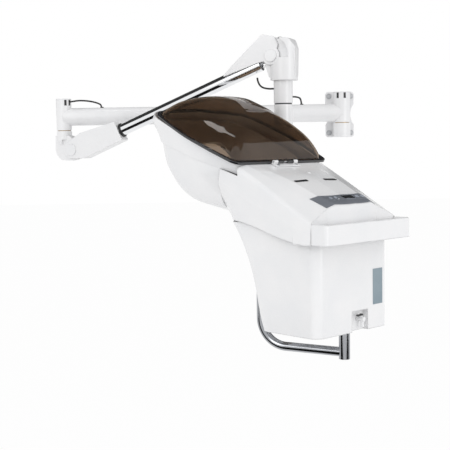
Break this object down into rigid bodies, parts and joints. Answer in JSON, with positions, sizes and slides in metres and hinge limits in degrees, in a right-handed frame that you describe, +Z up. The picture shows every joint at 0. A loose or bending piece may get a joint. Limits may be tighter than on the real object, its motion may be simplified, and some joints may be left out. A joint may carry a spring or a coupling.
{
  "type": "wall mounted hood hair dryer",
  "caption": "Hood hair dryer with a smoked lift-up visor and a boxy casing, hung from a spring-balanced arm that folds out from a wall plate.",
  "frame": {"origin": "centre of the wall plate's back face", "axes": "+Y into the wall, +Z up, +X to the right seen from the room"},
  "size_m": [1.0739, 1.0647, 0.9128],
  "materials": {
    "white_paint": "semi-gloss",
    "white_plastic": "gloss",
    "chrome": "polished",
    "steel": "satin",
    "black_plastic": "satin",
    "smoked": "gloss",
    "rubber": "matte",
    "bush": "satin",
    "panel_blue": "satin",
    "clear_plastic": "satin",
    "board": "satin",
    "button_grey": "satin"
  },
  "bodies": {
    "wall": {"wall_plate": "white_paint", "wall_support": "white_paint"},
    "long_arm": {"wall_sleeve": "white_paint", "arm_bushes": "bush", "post_caps": "white_plastic", "long_arm_tube": "white_paint", "arm_grommets": "rubber", "elbow_sleeve": "white_paint", "arm_lead_left": "rubber", "arm_lead_right": "rubber"},
    "elbow": {"elbow_knuckle": "white_paint"},
    "spring_arm": {"arm_lower_housing": "white_plastic", "arm_tube": "chrome", "arm_collar": "black_plastic", "arm_upper_cover": "white_plastic", "balance_spring": "steel", "pivot_pins": "steel", "pivot_caps": "chrome"},
    "rod": {"level_rod": "steel", "rod_pins": "steel"},
    "head": {"head_elbow": "white_paint", "head_plug": "black_plastic", "drop_tube": "white_paint", "drop_bushes": "bush", "head_lead": "rubber"},
    "hanger": {"swivel_ring": "black_plastic", "hanger_tube": "white_paint", "hanger_arm": "white_paint"},
    "machine": {"tilt_bracket": "steel", "lower_casing": "white_plastic", "upper_casing": "white_plastic", "control_panel": "panel_blue", "panel_window": "black_plastic", "deck_trims": "black_plastic", "hood_bowl": "white_plastic", "bowl_liner": "white_plastic", "hinge_plate": "black_plastic", "hinge_screws": "steel", "stand_socket": "chrome", "carry_pipe": "chrome", "carry_frame": "steel", "water_tank": "clear_plastic", "drain_body": "chrome", "rear_plate": "panel_blue", "fan_motor": "steel", "fan_housing": "black_plastic", "heater_element": "steel", "air_duct": "black_plastic", "control_board": "board"},
    "visor": {"visor_dome": "smoked", "visor_flange": "black_plastic", "hinge_pin": "steel"},
    "impeller": {"impeller": "black_plastic"},
    "drain_lever": {"drain_lever": "black_plastic"},
    "button_less": {"button_less": "button_grey"},
    "button_more": {"button_more": "button_grey"},
    "button_start": {"button_start": "button_grey"},
    "button_power": {"button_power": "button_grey"}
  },
  "joints": [
    {"name": "wall_swing", "type": "hinge", "parent": "wall", "child": "long_arm", "pos_m": [0, -0.075, 0.02], "axis": [0, 0, 1], "range_deg": [-2, 120]},
    {"name": "elbow_swing", "type": "hinge", "parent": "long_arm", "child": "elbow", "pos_m": [-0.9555, -0.075, 0], "axis": [0, 0, 1], "range_deg": [-60, 0]},
    {"name": "arm_lift", "type": "hinge", "parent": "elbow", "child": "spring_arm", "pos_m": [-0.92034, -0.08993, -0.1094], "axis": [-0.3908, -0.9205, 0], "range_deg": [-30, 8]},
    {"name": "rod_follow", "type": "hinge", "parent": "elbow", "child": "rod", "pos_m": [-0.92034, -0.08993, -0.1294], "axis": [-0.3908, -0.9205, 0], "range_deg": [-30, 8]},
    {"name": "head_level", "type": "hinge", "parent": "spring_arm", "child": "head", "pos_m": [-0.24994, -0.37454, 0.1725], "axis": [-0.3908, -0.9205, 0], "range_deg": [-8, 30], "deforming": ["head_lead"]},
    {"name": "machine_swivel", "type": "hinge", "parent": "head", "child": "hanger", "pos_m": [-0.22031, -0.38712, 0.05], "axis": [0, 0, 1], "range_deg": [-10, 60]},
    {"name": "machine_tilt", "type": "hinge", "parent": "hanger", "child": "machine", "pos_m": [-0.06339, -0.55391, -0.268], "axis": [0.7193, 0.6947, 0], "range_deg": [-10, 10]},
    {"name": "visor_lift", "type": "hinge", "parent": "machine", "child": "visor", "pos_m": [-0.23845, -0.7354, -0.14968], "axis": [0.7193, 0.6947, 0], "range_deg": [0, 60]},
    {"name": "fan_spin", "type": "hinge", "parent": "machine", "child": "impeller", "pos_m": [-0.12226, -0.76646, -0.48], "axis": [0, 0, 1], "continuous": true},
    {"name": "drain_turn", "type": "hinge", "parent": "machine", "child": "drain_lever", "pos_m": [-0.05006, -0.88441, -0.556], "axis": [0, 0, 1], "range_deg": [0, 90]},
    {"name": "press_less", "type": "slide", "parent": "machine", "child": "button_less", "axis": [-0.2925, 0.3029, -0.907], "range_m": [0, 0.001], "stiffness_N_per_m": 400},
    {"name": "press_more", "type": "slide", "parent": "machine", "child": "button_more", "axis": [-0.2925, 0.3029, -0.907], "range_m": [0, 0.001], "stiffness_N_per_m": 400},
    {"name": "press_start", "type": "slide", "parent": "machine", "child": "button_start", "axis": [-0.2925, 0.3029, -0.907], "range_m": [0, 0.001], "stiffness_N_per_m": 400},
    {"name": "press_power", "type": "slide", "parent": "machine", "child": "button_power", "axis": [-0.2925, 0.3029, -0.907], "range_m": [0, 0.001], "stiffness_N_per_m": 400}
  ],
  "couplings": [
    {"joint": "rod_follow", "follows": "arm_lift", "ratio": 1},
    {"joint": "head_level", "follows": "arm_lift", "ratio": -1}
  ]
}
